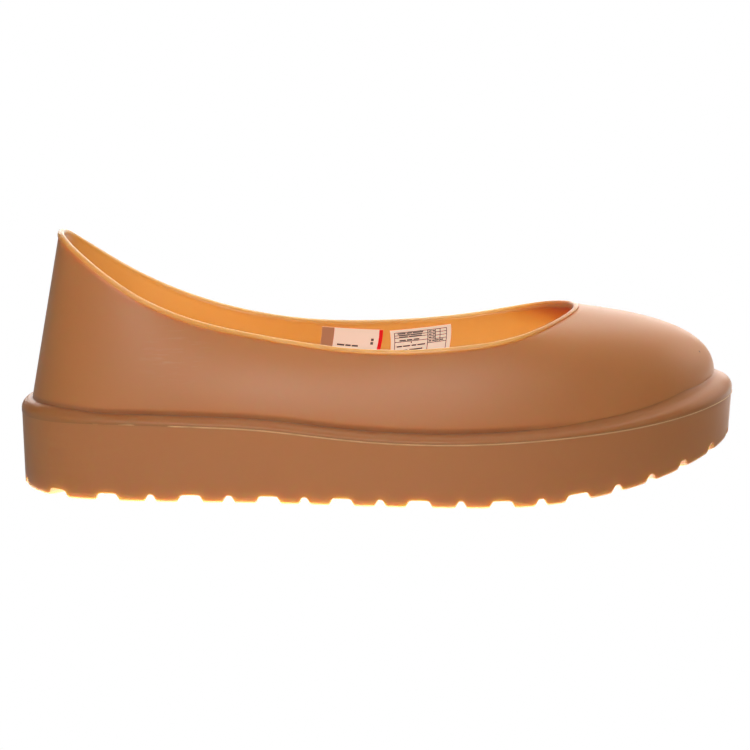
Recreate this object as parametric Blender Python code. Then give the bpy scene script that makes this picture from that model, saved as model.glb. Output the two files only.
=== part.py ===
"""Moulded rubber overshoe for a right foot: a hollow upper, a welt ring and a lugged cup sole.

Frame: +X runs to the toe, +Y to the inner side of the foot and +Z up. The origin is on the floor, at the
middle of the box around the shoe. Sizes are in millimetres and turn into metres when a mesh is made.
"""

from collections import namedtuple

import bmesh
import bpy
import numpy as np

MM = 0.001

# Driving sizes
LENGTH = 290.0  # heel to toe, over the sole's edge
BALL_WIDTH = 107.0  # over the sole's edge at the ball of the foot
HEEL_HEIGHT = 105.0  # floor to the collar at the back of the heel
INSTEP_HEIGHT = 73.6  # floor to the collar at its front, over the instep
SOLE_HEIGHT = 32.0  # floor to the top of the sole's edge at the heel

# Wall and collar bead
WALL = 2.2  # thickness of the upper
BEAD_HEIGHT = 2.2  # of the bead that runs round the collar
BEAD_PROUD = 0.5  # how far the bead stands out of an upright wall
BEAD_PROUD_FLAT = 0.7  # the same where the wall lies flat, over the instep
BEAD_INSIDE = 0.1  # how far it stands into the shoe
SEAT_GAP = 0.3  # clearance between pieces that meet

# Welt, the rounded rib on the sole's edge
WELT_REACH_HEEL = 4.0  # from the sole's edge in to the upper, at the heel
WELT_REACH_TOE = 6.8  # the same at the toe
FOOT_RISE = 3.5  # from the sole's edge up to where the upper comes out of the welt
FOOT_RISE_TOE = 8.0  # the same at the tip of the toe, where the welt is taller
FOOT_RISE_HEEL = 5.5  # the same at the back of the heel
TOE_RISE_START = 215.0  # from the heel to where the welt starts to grow towards the toe
HEEL_RISE_SPAN = (36.0, 8.0)  # stations between which it grows to its heel height

# Cup sole
SIDE_TAPER = 1.2  # how much narrower the sole is at the floor
FLOOR_THICKNESS = 6.0  # of rubber between the tread and the inside
CUP_DRAFT = 0.8  # how much narrower the cup is at its floor
CUP_FILLET = 7.0  # radius between the cup's wall and its floor
ROCKER_START = 192.0  # from the heel to where the tread starts to rise
ROCKER_RADIUS = 240.0
HEEL_LIFT_START = 22.0  # the tread rises a little behind this station
HEEL_LIFT = 0.9  # by this much at the back of the heel

# Tread
LUG_DEPTH = 2.9
LUG_REACH = 16.5  # depth of an edge lug, in from the sole's side
FLANK_RUN = 1.3  # slope of a lug's sides over its depth
CHANNEL = 4.0  # width of the groove between edge lugs and middle bars
LUG_ARC_STEP = 6.5  # longest straight facet along a lug

UPPER_SAMPLES = 100  # points round the upper and the welt
OUTER_SHARES = (0.0, 0.1, 0.22, 0.36, 0.5, 0.64, 0.78, 0.9)  # rings up the wall's outside
INNER_SHARES = (0.88, 0.66, 0.44, 0.22, 0.0)  # rings down its inside
TURN_STEP = 0.5  # step round the edge that a direction is measured over
SHARE_STEP = 0.004  # step up a rib that its slope is measured over

# The upper's ribs, from the back of the heel round the outer side to the toe and back along the inner side.
# station: share of LENGTH; offset: share of half of BALL_WIDTH, for the sole's edge below the rib.
# collar_station, collar_offset: the same for the rib's top; collar_height: from the heel's or the instep's.
# foot_in, foot_up: how far the rib's lower tangent reaches, as shares of its run inwards and of its rise.
# collar_out, collar_down: the same for the tangent at the collar.
Rib = namedtuple(
    "Rib",
    "name station offset collar_station collar_offset collar_height foot_in foot_up collar_out collar_down",
)
RIBS = (
    Rib("heel back", 0.000, 0.000, 0.0545, 0.000, 1.000 * HEEL_HEIGHT, 0.33, 0.33, 0.33, 0.33),
    Rib("heel corner, outer", 0.041, -0.510, 0.0715, -0.275, 0.968 * HEEL_HEIGHT, 0.30, 0.33, 0.35, 0.33),
    Rib("heel side, outer", 0.141, -0.722, 0.155, -0.495, 0.808 * HEEL_HEIGHT, 0.15, 0.35, 0.45, 0.33),
    Rib("waist, outer", 0.331, -0.808, 0.3345, -0.460, 0.905 * INSTEP_HEIGHT, 0.08, 0.38, 0.55, 0.28),
    Rib("ball rear, outer", 0.514, -0.951, 0.500, -0.617, 0.842 * INSTEP_HEIGHT, 0.06, 0.40, 0.55, 0.26),
    Rib("ball, outer", 0.659, -1.000, 0.6276, -0.667, 0.872 * INSTEP_HEIGHT, 0.06, 0.42, 0.58, 0.25),
    Rib("toe side, outer", 0.822, -0.886, 0.7172, -0.546, 0.936 * INSTEP_HEIGHT, 0.04, 0.46, 0.60, 0.22),
    Rib("toe corner, outer", 0.942, -0.575, 0.7631, -0.234, 0.985 * INSTEP_HEIGHT, 0.02, 0.53, 0.65, 0.18),
    Rib("toe tip", 1.000, 0.070, 0.7759, 0.037, 1.000 * INSTEP_HEIGHT, 0.00, 0.55, 0.67, 0.16),
    Rib("toe corner, inner", 0.948, 0.670, 0.7620, 0.299, 0.985 * INSTEP_HEIGHT, 0.02, 0.53, 0.65, 0.18),
    Rib("toe side, inner", 0.834, 0.955, 0.7170, 0.579, 0.936 * INSTEP_HEIGHT, 0.04, 0.46, 0.60, 0.22),
    Rib("ball, inner", 0.707, 1.000, 0.6345, 0.682, 0.872 * INSTEP_HEIGHT, 0.06, 0.42, 0.58, 0.25),
    Rib("ball rear, inner", 0.535, 0.884, 0.5034, 0.617, 0.842 * INSTEP_HEIGHT, 0.06, 0.40, 0.55, 0.26),
    Rib("waist, inner", 0.338, 0.757, 0.338, 0.460, 0.905 * INSTEP_HEIGHT, 0.08, 0.38, 0.55, 0.28),
    Rib("heel side, inner", 0.145, 0.722, 0.155, 0.495, 0.808 * HEEL_HEIGHT, 0.15, 0.35, 0.45, 0.33),
    Rib("heel corner, inner", 0.041, 0.510, 0.0715, 0.275, 0.968 * HEEL_HEIGHT, 0.30, 0.33, 0.35, 0.33),
)
TOE_RIB = 8

# Height of the sole's edge along the shoe: station as a share of LENGTH, height as a share of SOLE_HEIGHT.
EdgeLine = namedtuple("EdgeLine", "station height")
EDGE_LINE = (
    EdgeLine(0.000, 0.960),
    EdgeLine(0.090, 0.995),
    EdgeLine(0.170, 1.000),
    EdgeLine(0.250, 0.985),
    EdgeLine(0.335, 0.955),
    EdgeLine(0.415, 0.892),
    EdgeLine(0.495, 0.840),
    EdgeLine(0.575, 0.825),
    EdgeLine(0.660, 0.840),
    EdgeLine(0.760, 0.898),
    EdgeLine(0.840, 0.966),
    EdgeLine(0.920, 1.065),
    EdgeLine(1.000, 1.190),
)

# Profile of the collar bead, from the wall's outside over the top to its inside.
# drop: from the collar's edge down the wall, as a share of BEAD_HEIGHT.
# depth: through the bead, 0 at its outside and 1 at its inside.
BeadPoint = namedtuple("BeadPoint", "drop depth")
BEAD_PROFILE = (
    BeadPoint(0.90, 0.06),
    BeadPoint(0.45, 0.00),
    BeadPoint(0.15, 0.10),
    BeadPoint(0.00, 0.34),
    BeadPoint(0.00, 0.66),
    BeadPoint(0.15, 0.90),
    BeadPoint(0.45, 1.00),
    BeadPoint(0.90, 0.95),
)

# Profile of the welt, from its lower outer edge over the rib to its lower inner edge.
# inset: in from the sole's edge, as a share of the welt's reach.
# rise: above the sole's edge, as a share of the foot's rise.
WeltPoint = namedtuple("WeltPoint", "inset rise")
WELT_PROFILE = (
    WeltPoint(0.01, 0.09),
    WeltPoint(-0.03, 0.20),
    WeltPoint(-0.03, 0.32),
    WeltPoint(0.01, 0.45),
    WeltPoint(0.09, 0.59),
    WeltPoint(0.21, 0.73),
    WeltPoint(0.37, 0.85),
    WeltPoint(0.57, 0.94),
    WeltPoint(0.79, 0.99),
    WeltPoint(1.00, 1.00),
    WeltPoint(1.00, 0.09),
)

# Edge lugs of one side, from the middle of the heel to the middle of the toe.
# length: of the lug along the edge; gap: after it. They are scaled together to fit the side.
# bar: number of the bar in the tread's middle that the lug belongs to, 0 for none.
Lug = namedtuple("Lug", "name length gap bar")
LUGS = (
    Lug("heel middle, half", 5.7, 4.9, 0),
    Lug("heel corner", 18.0, 9.9, 0),
    Lug("heel side", 12.4, 9.7, 1),
    Lug("pair 1, rear", 10.3, 4.6, 2),
    Lug("pair 1, front", 8.7, 10.4, 2),
    Lug("pair 2, rear", 8.1, 4.9, 3),
    Lug("pair 2, front", 8.7, 10.0, 3),
    Lug("pair 3, rear", 7.5, 4.6, 4),
    Lug("pair 3, front", 7.8, 10.1, 4),
    Lug("pair 4, rear", 8.4, 4.6, 5),
    Lug("pair 4, front", 8.1, 10.7, 5),
    Lug("pair 5, rear", 9.4, 4.6, 6),
    Lug("pair 5, front", 9.3, 10.3, 6),
    Lug("pair 6, rear", 8.3, 4.9, 7),
    Lug("pair 6, front", 7.5, 10.3, 7),
    Lug("toe 1", 9.0, 4.7, 8),
    Lug("toe 2", 10.0, 4.4, 8),
    Lug("toe 3", 10.8, 5.0, 9),
    Lug("toe 4", 12.3, 4.9, 9),
    Lug("toe 5", 13.3, 4.9, 0),
    Lug("toe middle, half", 4.8, 0.0, 0),
)

# Base colours, linear
UPPER_COLOUR = (0.470, 0.200, 0.090, 1.0)
WELT_COLOUR = (0.430, 0.180, 0.080, 1.0)
SOLE_COLOUR = (0.400, 0.160, 0.068, 1.0)
RUBBER_ROUGHNESS = 0.5
SHARP_ANGLE = np.radians(35)  # edges sharper than this are shaded as edges


def cubic(knots, values, closed):
    """A smooth cubic curve through rows of values, as a function of its parameter.

    The slopes at the knots keep the second derivative continuous; an open curve has free ends.
    """
    knots = np.asarray(knots, float)
    values = np.asarray(values, float).reshape(len(values), -1)
    count = len(values)
    spans = np.diff(knots)
    ahead = np.roll(values, -1, axis=0)
    chords = (ahead[: len(spans)] - values[: len(spans)]) / spans[:, None]
    system = np.zeros((count, count))
    target = np.zeros_like(values)
    for i in range(count):
        if closed or 0 < i < count - 1:
            before, after = (i - 1) % len(spans), i
            system[i, (i - 1) % count] = 1 / spans[before]
            system[i, i] = 2 / spans[before] + 2 / spans[after]
            system[i, (i + 1) % count] = 1 / spans[after]
            target[i] = 3 * (chords[before] / spans[before] + chords[after] / spans[after])
        else:
            near = 0 if i == 0 else count - 2
            system[i, i] = 2
            system[i, 1 if i == 0 else count - 2] = 1
            target[i] = 3 * chords[near]
    slopes = np.linalg.solve(system, target)

    def at(parameter):
        if closed:
            parameter = parameter % knots[-1]
        k = int(np.clip(np.searchsorted(knots, parameter, side="right") - 1, 0, len(spans) - 1))
        u = (parameter - knots[k]) / spans[k]
        start, end = values[k], values[(k + 1) % count]
        leave, arrive = slopes[k] * spans[k], slopes[(k + 1) % count] * spans[k]
        return (
            start * (2 * u**3 - 3 * u**2 + 1)
            + end * (3 * u**2 - 2 * u**3)
            + leave * (u**3 - 2 * u**2 + u)
            + arrive * (u**3 - u**2)
        )

    return at


HALF_BALL = BALL_WIDTH / 2
EDGE_POINTS = np.array([(rib.station * LENGTH, rib.offset * HALF_BALL) for rib in RIBS])
EDGE_STEPS = np.linalg.norm(np.roll(EDGE_POINTS, -1, axis=0) - EDGE_POINTS, axis=1)
EDGE_KNOTS = np.concatenate([[0.0], np.cumsum(EDGE_STEPS)])
ROUND = EDGE_KNOTS[-1]  # the parameter's full turn, about the sole's perimeter
TOE = EDGE_KNOTS[TOE_RIB]  # the parameter at the toe's tip

edge_curve = cubic(EDGE_KNOTS, EDGE_POINTS, closed=True)
collar_curve = cubic(
    EDGE_KNOTS,
    [(rib.collar_station * LENGTH, rib.collar_offset * HALF_BALL, rib.collar_height) for rib in RIBS],
    closed=True,
)
tangent_shares = cubic(
    EDGE_KNOTS, [(rib.foot_in, rib.foot_up, rib.collar_out, rib.collar_down) for rib in RIBS], closed=True
)
edge_line = cubic(
    [row.station * LENGTH for row in EDGE_LINE], [row.height * SOLE_HEIGHT for row in EDGE_LINE], closed=False
)


def edge_height(station):
    """Height of the top of the sole's edge at a station."""
    return float(edge_line(np.clip(station, 0.0, LENGTH))[0])


def tread_height(station):
    """Height of the tread's lowest surface: flat, with a rocker at the toe and a slight lift at the heel."""
    if station > ROCKER_START:
        return ROCKER_RADIUS - (ROCKER_RADIUS**2 - (station - ROCKER_START) ** 2) ** 0.5
    behind = max(0.0, HEEL_LIFT_START - station) / HEEL_LIFT_START
    return HEEL_LIFT * behind**2


def welt_reach(station):
    """Width of the welt at a station."""
    return WELT_REACH_HEEL + (WELT_REACH_TOE - WELT_REACH_HEEL) * station / LENGTH


def ease(station, span):
    """Smooth step from 0 at the first station of a span to 1 at its last."""
    share = np.clip((station - span[0]) / (span[1] - span[0]), 0.0, 1.0)
    return share**2 * (3 - 2 * share)


def foot_rise(station):
    """Height of the upper's foot over the sole's edge at a station."""
    past = max(0.0, station - TOE_RISE_START) / (LENGTH - TOE_RISE_START)
    at_toe = (FOOT_RISE_TOE - FOOT_RISE) * past**2
    at_heel = (FOOT_RISE_HEEL - FOOT_RISE) * ease(station, HEEL_RISE_SPAN)
    return FOOT_RISE + at_toe + at_heel


def edge_point(turn, inset=0.0):
    """Plan point of the sole's edge, moved in at a right angle to the edge."""
    along = edge_curve(turn + TURN_STEP) - edge_curve(turn - TURN_STEP)
    along /= np.linalg.norm(along)
    inward = np.array([-along[1], along[0]])
    return edge_curve(turn) + inward * inset


def foot_point(turn):
    """Where the upper's outside comes out of the welt."""
    station = edge_curve(turn)[0]
    plan = edge_point(turn, welt_reach(station) + SEAT_GAP)
    return np.array([plan[0], plan[1], edge_height(station) + foot_rise(station)])


def rib_handles(turn):
    """The four control points of the rib from the foot to the collar."""
    foot, collar = foot_point(turn), collar_curve(turn)
    run = (collar - foot) * (1, 1, 0)
    rise = np.array([0, 0, collar[2] - foot[2]])
    foot_in, foot_up, collar_out, collar_down = tangent_shares(turn)
    return foot, foot + run * foot_in + rise * foot_up, collar - run * collar_out - rise * collar_down, collar


def rib_point(turn, share):
    """A point of the upper's outer face: share 0 at the foot, 1 at the collar."""
    a, b, c, d = rib_handles(turn)
    rest = 1 - share
    return a * rest**3 + b * 3 * rest**2 * share + c * 3 * rest * share**2 + d * share**3


def wall_point(turn, share, depth):
    """A point of the upper's wall, a depth in from its outer face along the face's normal."""
    along = rib_point(turn + TURN_STEP, share) - rib_point(turn - TURN_STEP, share)
    low, high = max(0.0, share - SHARE_STEP), min(1.0, share + SHARE_STEP)
    up = rib_point(turn, high) - rib_point(turn, low)
    inward = np.cross(up, along)
    return rib_point(turn, share) + inward / np.linalg.norm(inward) * depth


def collar_share(turn, drop):
    """Share up the rib that lies a short drop below the collar."""
    handles = rib_handles(turn)
    return 1 - drop / (3 * np.linalg.norm(handles[3] - handles[2]))


def bead_proud(turn):
    """How far the bead stands out: more where the wall lies flat."""
    handles = rib_handles(turn)
    lean = (handles[3] - handles[2]) / np.linalg.norm(handles[3] - handles[2])
    return BEAD_PROUD + (BEAD_PROUD_FLAT - BEAD_PROUD) * (1 - lean[2] ** 2)


def upper_rings():
    """Loops round the upper's wall: up the outside, over the bead and down the inside."""
    turns = np.linspace(0, ROUND, UPPER_SAMPLES, endpoint=False)
    bead_share = [collar_share(turn, BEAD_HEIGHT) for turn in turns]

    def skirt(depth):
        ring = []
        for turn in turns:
            station = edge_curve(turn)[0]
            plan = edge_point(turn, welt_reach(station) + SEAT_GAP + depth)
            ring.append((*plan, edge_height(station) + SEAT_GAP))
        return ring

    rings = [skirt(0.0)]
    for share in OUTER_SHARES + (1.0,):
        rings.append([wall_point(turn, share * top, 0.0) for turn, top in zip(turns, bead_share)])
    for point in BEAD_PROFILE:
        ring = []
        for turn in turns:
            proud = bead_proud(turn)
            depth = point.depth * (proud + WALL + BEAD_INSIDE) - proud
            ring.append(wall_point(turn, collar_share(turn, point.drop * BEAD_HEIGHT), depth))
        rings.append(ring)
    for share in (1.0,) + INNER_SHARES:
        rings.append([wall_point(turn, share * top, WALL) for turn, top in zip(turns, bead_share)])
    rings.append(skirt(WALL))
    return rings


def welt_rings():
    """Loops round the welt's profile."""
    turns = np.linspace(0, ROUND, UPPER_SAMPLES, endpoint=False)
    rings = []
    for point in WELT_PROFILE:
        ring = []
        for turn in turns:
            station = edge_curve(turn)[0]
            plan = edge_point(turn, point.inset * welt_reach(station))
            ring.append((*plan, edge_height(station) + point.rise * foot_rise(station)))
        rings.append(ring)
    return rings


LugSample = namedtuple("LugSample", "turn lug bar")


def side_lug_samples(start, end):
    """Samples along one side of the edge, from the heel to the toe, with the tread's level at each.

    start and end are the edge's parameters there. lug is 1 on a lug's sole and 0 in a gap; bar is the same
    for the bars in the middle of the tread.
    """
    scale = (end - start) / sum(row.length + row.gap for row in LUGS)
    flank = FLANK_RUN * scale
    samples = []
    place = start
    for row, after in zip(LUGS, LUGS[1:] + LUGS[-1:]):
        pieces = int(np.ceil(row.length / LUG_ARC_STEP))
        bar = int(row.bar > 0)
        for k in range(pieces + 1):
            samples.append(LugSample(place + row.length * scale * k / pieces, 1, bar))
        place += row.length * scale
        if row.gap:
            joined = int(row.bar > 0 and row.bar == after.bar)
            samples.append(LugSample(place + flank, 0, joined))
            place += row.gap * scale
            samples.append(LugSample(place - flank, 0, joined))
    return samples


def sole_samples():
    """Samples all round the edge: the outer side from heel to toe, then the inner side back to the heel."""
    outer = side_lug_samples(0.0, TOE)
    inner = side_lug_samples(ROUND, TOE)
    return outer + inner[-2:0:-1]


def sole_rings():
    """Loops over the cup sole, from the floor inside it, over its edge, to the bars of the tread."""
    samples = sole_samples()

    def loop(inset, height):
        ring = []
        for sample in samples:
            station, offset = edge_point(sample.turn, inset(sample))
            ring.append((station, offset, height(sample, station)))
        return ring

    def cup_inset(extra):
        return lambda sample: welt_reach(edge_curve(sample.turn)[0]) + SEAT_GAP + WALL + extra

    def floor_height(rise):
        return lambda sample, station: tread_height(station) + LUG_DEPTH + FLOOR_THICKNESS + rise

    def edge_top(sample, station):
        return edge_height(edge_curve(sample.turn)[0])

    def lug_height(sample, station):
        return tread_height(station) + LUG_DEPTH * (1 - sample.lug)

    def ceiling(sample, station):
        return tread_height(station) + LUG_DEPTH

    def bar_height(sample, station):
        return tread_height(station) + LUG_DEPTH * (1 - sample.bar)

    corner = CUP_FILLET * (1 - 0.5**0.5)
    inner_end = LUG_REACH + FLANK_RUN
    bar_start = inner_end + CHANNEL
    return [
        loop(cup_inset(CUP_DRAFT + CUP_FILLET), floor_height(0.0)),
        loop(cup_inset(CUP_DRAFT + corner), floor_height(corner)),
        loop(cup_inset(CUP_DRAFT), floor_height(CUP_FILLET)),
        loop(cup_inset(0.0), edge_top),
        loop(lambda sample: 0.0, edge_top),
        loop(lambda sample: SIDE_TAPER, lug_height),
        loop(lambda sample: LUG_REACH, lug_height),
        loop(lambda sample: inner_end, ceiling),
        loop(lambda sample: bar_start, ceiling),
        loop(lambda sample: bar_start + FLANK_RUN, bar_height),
    ]


def rubber(name, colour):
    """Material of one moulding."""
    material = bpy.data.materials.new(name)
    material.use_nodes = True
    shader = material.node_tree.nodes["Principled BSDF"]
    shader.inputs["Base Color"].default_value = colour
    shader.inputs["Roughness"].default_value = RUBBER_ROUGHNESS
    shader.inputs["Metallic"].default_value = 0.0
    return material


def loft(name, rings, material, middle, shoe, filled=False):
    """A solid whose skin joins each loop to the next; the last meets the first, or both are filled across."""
    mesh = bpy.data.meshes.new(name)
    form = bmesh.new()
    loops = [[form.verts.new((np.array(point) - middle) * MM) for point in ring] for ring in rings]
    around = len(loops[0])
    for lower, upper in zip(loops, loops[1:] if filled else loops[1:] + loops[:1]):
        for i in range(around):
            j = (i + 1) % around
            form.faces.new((lower[i], lower[j], upper[j], upper[i]))
    if filled:
        for ring in (loops[0], loops[-1]):
            fill_across(form, ring)
    bmesh.ops.recalc_face_normals(form, faces=form.faces)
    form.to_mesh(mesh)
    form.free()
    mesh.materials.append(material)
    mesh.shade_smooth()
    mesh.set_sharp_from_angle(angle=SHARP_ANGLE)
    solid = bpy.data.objects.new(name, mesh)
    solid.parent = shoe
    bpy.context.scene.collection.objects.link(solid)


def fill_across(form, ring):
    """Closes a loop with rungs between its outer and inner sides."""
    count = len(ring)
    for i in range(count // 2):
        corners = [ring[i], ring[i + 1], ring[(count - i - 1) % count], ring[(count - i) % count]]
        form.faces.new(list(dict.fromkeys(corners)))


def box_middle(rings):
    """Middle of the box around the shoe on the floor, from the loops of its widest pieces."""
    points = np.array([point for ring in rings for point in ring])
    low, high = points.min(axis=0), points.max(axis=0)
    return np.array([(low[0] + high[0]) / 2, (low[1] + high[1]) / 2, 0.0])


def main():
    """Clears the scene and builds the three mouldings under one empty."""
    for leftover in list(bpy.data.objects):
        bpy.data.objects.remove(leftover)
    shoe = bpy.data.objects.new("overshoe", None)
    bpy.context.scene.collection.objects.link(shoe)
    welt, sole = welt_rings(), sole_rings()
    middle = box_middle(welt + sole)
    loft("upper", upper_rings(), rubber("upper_rubber", UPPER_COLOUR), middle, shoe)
    loft("welt", welt, rubber("welt_rubber", WELT_COLOUR), middle, shoe)
    loft("outsole", sole, rubber("sole_rubber", SOLE_COLOUR), middle, shoe, filled=True)


main()
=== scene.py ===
"""Looks of a moulded rubber overshoe for a right foot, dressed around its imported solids.

The upper, the welt and the cup sole are made again as smooth meshes on the same last, in the frame of the
solids: +X to the toe, +Y to the inner side of the foot, +Z up, the origin on the floor. Sizes of the shoe
are in millimetres and turn into metres when a mesh is made.
"""

import logging
import math
from dataclasses import dataclass, field
from enum import Enum
from typing import Any, NamedTuple

import bmesh
import bpy
import numpy as np
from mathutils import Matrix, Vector


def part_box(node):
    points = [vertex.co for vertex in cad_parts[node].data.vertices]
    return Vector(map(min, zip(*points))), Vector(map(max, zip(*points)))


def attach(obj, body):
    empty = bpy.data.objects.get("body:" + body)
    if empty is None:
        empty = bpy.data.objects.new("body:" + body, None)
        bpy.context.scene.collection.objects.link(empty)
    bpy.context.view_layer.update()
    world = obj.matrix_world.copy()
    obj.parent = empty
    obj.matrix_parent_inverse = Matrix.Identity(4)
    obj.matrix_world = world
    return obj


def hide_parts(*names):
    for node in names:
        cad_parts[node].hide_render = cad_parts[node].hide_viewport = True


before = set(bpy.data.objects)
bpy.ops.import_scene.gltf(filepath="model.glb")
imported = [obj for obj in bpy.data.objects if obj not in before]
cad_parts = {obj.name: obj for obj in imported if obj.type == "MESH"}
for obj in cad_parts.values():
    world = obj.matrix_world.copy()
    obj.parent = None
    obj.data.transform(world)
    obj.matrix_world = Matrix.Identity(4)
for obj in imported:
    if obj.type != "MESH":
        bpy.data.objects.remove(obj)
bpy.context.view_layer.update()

LOG = logging.getLogger("overshoe")
BODY = "root"
MM = 0.001
WEAR_AND_HIGHLIGHT = "wear_and_highlight"  # mesh attribute: 1 where the rubber's skin is scuffed or trimmed; the pale trimmed flash is partly a painted highlight
SCUFF = "scuff"  # mesh attribute: 1 where fine scratches cross the skin
PAINTED_SHADE = "painted_shade"  # mesh attribute: 1 where shade is painted into the colour, in hollows and creases
INSIDE = "inside"  # mesh attribute: how far light comes through, 1 on the inner face of a thin wall
SHARP_ANGLE = math.radians(40)  # edges sharper than this are shaded as edges
PHOTO_SIDE = 750  # pixels

Array = np.ndarray
Tree = bpy.types.NodeTree
Socket = bpy.types.NodeSocket
Thing = bpy.types.Object


class Rib(NamedTuple):
    """One section of the upper: the sole's edge under it, its top at the collar and its two tangents.

    Stations are shares of the shoe's length, offsets shares of half the ball's width, and the tangents
    shares of the rib's run inwards and of its rise.
    """

    name: str
    station: float
    offset: float
    collar_station: float
    collar_offset: float
    collar_height: float
    foot_in: float
    foot_up: float
    collar_out: float
    collar_down: float


class EdgeLevel(NamedTuple):
    """Height of the sole's edge at a station: shares of the length and of the sole's height."""

    station: float
    height: float


class BeadPoint(NamedTuple):
    """Point of the collar bead: drop down the wall, and depth through the bead from its outside."""

    drop: float
    depth: float


class WeltPoint(NamedTuple):
    """Point of the welt along the side, and at the toe, where it runs up the wall in a fillet.

    Insets are shares of the way to the upper's foot, rises shares of the foot's rise.
    """

    inset: float
    rise: float
    toe_inset: float
    toe_rise: float


class HollowPoint(NamedTuple):
    """Point of the hollow over the welt: its rise over the upper's foot, and its share of the depth."""

    rise: float
    depth: float


class Lug(NamedTuple):
    """One edge lug: its length and the gap after it, and the bar in the tread's middle it belongs to."""

    name: str
    length: float
    gap: float
    bar: int


class FlashPoint(NamedTuple):
    """Point of the sole's top edge, with the flash that the mould left on it.

    Inset and rise are from the edge's corner; proud and tall are shares of the flash's reach and height.
    """

    inset: float
    rise: float
    proud: float
    tall: float


HEEL_HEIGHT = 105.0  # floor to the collar at the back of the heel
INSTEP_HEIGHT = 73.6  # floor to the collar at its front

RIBS = (
    Rib("heel back", 0.000, 0.000, 0.0545, 0.000, 1.000 * HEEL_HEIGHT, 0.33, 0.33, 0.33, 0.33),
    Rib("heel corner, outer", 0.041, -0.510, 0.0715, -0.275, 0.968 * HEEL_HEIGHT, 0.30, 0.33, 0.35, 0.33),
    Rib("heel side, outer", 0.141, -0.722, 0.155, -0.495, 0.808 * HEEL_HEIGHT, 0.15, 0.35, 0.45, 0.33),
    Rib("waist, outer", 0.331, -0.808, 0.3345, -0.460, 0.905 * INSTEP_HEIGHT, 0.08, 0.38, 0.55, 0.28),
    Rib("ball rear, outer", 0.514, -0.951, 0.500, -0.617, 0.842 * INSTEP_HEIGHT, 0.06, 0.40, 0.55, 0.26),
    Rib("ball, outer", 0.659, -1.000, 0.6276, -0.667, 0.872 * INSTEP_HEIGHT, 0.06, 0.42, 0.58, 0.25),
    Rib("toe side, outer", 0.822, -0.886, 0.7172, -0.546, 0.936 * INSTEP_HEIGHT, 0.04, 0.46, 0.60, 0.22),
    Rib("toe corner, outer", 0.942, -0.575, 0.7631, -0.234, 0.985 * INSTEP_HEIGHT, 0.02, 0.53, 0.65, 0.18),
    Rib("toe tip", 1.000, 0.070, 0.7759, 0.037, 1.000 * INSTEP_HEIGHT, 0.00, 0.55, 0.67, 0.16),
    Rib("toe corner, inner", 0.948, 0.670, 0.7620, 0.299, 0.985 * INSTEP_HEIGHT, 0.02, 0.53, 0.65, 0.18),
    Rib("toe side, inner", 0.834, 0.955, 0.7170, 0.579, 0.936 * INSTEP_HEIGHT, 0.04, 0.46, 0.60, 0.22),
    Rib("ball, inner", 0.707, 1.000, 0.6345, 0.682, 0.872 * INSTEP_HEIGHT, 0.06, 0.42, 0.58, 0.25),
    Rib("ball rear, inner", 0.535, 0.884, 0.5034, 0.617, 0.842 * INSTEP_HEIGHT, 0.06, 0.40, 0.55, 0.26),
    Rib("waist, inner", 0.338, 0.757, 0.338, 0.460, 0.905 * INSTEP_HEIGHT, 0.08, 0.38, 0.55, 0.28),
    Rib("heel side, inner", 0.145, 0.722, 0.155, 0.495, 0.808 * HEEL_HEIGHT, 0.15, 0.35, 0.45, 0.33),
    Rib("heel corner, inner", 0.041, 0.510, 0.0715, 0.275, 0.968 * HEEL_HEIGHT, 0.30, 0.33, 0.35, 0.33),
)
TOE_RIB = 8

EDGE_LINE = (
    EdgeLevel(0.000, 0.960),
    EdgeLevel(0.090, 0.995),
    EdgeLevel(0.170, 1.000),
    EdgeLevel(0.250, 0.985),
    EdgeLevel(0.335, 0.955),
    EdgeLevel(0.415, 0.892),
    EdgeLevel(0.495, 0.840),
    EdgeLevel(0.575, 0.825),
    EdgeLevel(0.660, 0.840),
    EdgeLevel(0.760, 0.898),
    EdgeLevel(0.840, 0.966),
    EdgeLevel(0.920, 1.065),
    EdgeLevel(1.000, 1.190),
)

BEAD_PROFILE = (
    BeadPoint(0.90, 0.06),
    BeadPoint(0.45, 0.00),
    BeadPoint(0.15, 0.10),
    BeadPoint(0.00, 0.34),
    BeadPoint(0.00, 0.66),
    BeadPoint(0.15, 0.90),
    BeadPoint(0.45, 1.00),
    BeadPoint(0.90, 0.95),
)

WELT_PROFILE = (
    WeltPoint(-0.02, -0.02, -0.02, -0.02),
    WeltPoint(-0.03, 0.16, -0.03, 0.14),
    WeltPoint(-0.03, 0.32, -0.03, 0.28),
    WeltPoint(0.01, 0.45, 0.01, 0.40),
    WeltPoint(0.09, 0.59, 0.08, 0.52),
    WeltPoint(0.21, 0.73, 0.19, 0.63),
    WeltPoint(0.37, 0.85, 0.34, 0.72),
    WeltPoint(0.57, 0.94, 0.52, 0.80),
    WeltPoint(0.79, 0.99, 0.72, 0.90),
    WeltPoint(1.05, 1.01, 0.90, 1.06),
    WeltPoint(1.22, 0.95, 1.02, 1.28),
    WeltPoint(1.30, 0.75, 1.12, 1.45),
    WeltPoint(1.30, -0.02, 1.30, -0.02),
)

HOLLOW_PROFILE = (
    HollowPoint(0.0, 1.0),
    HollowPoint(0.5, 0.80),
    HollowPoint(1.0, 0.56),
    HollowPoint(1.5, 0.32),
    HollowPoint(1.8, 0.18),
    HollowPoint(2.1, 0.08),
    HollowPoint(2.5, 0.02),
    HollowPoint(3.2, 0.0),
)

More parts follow.
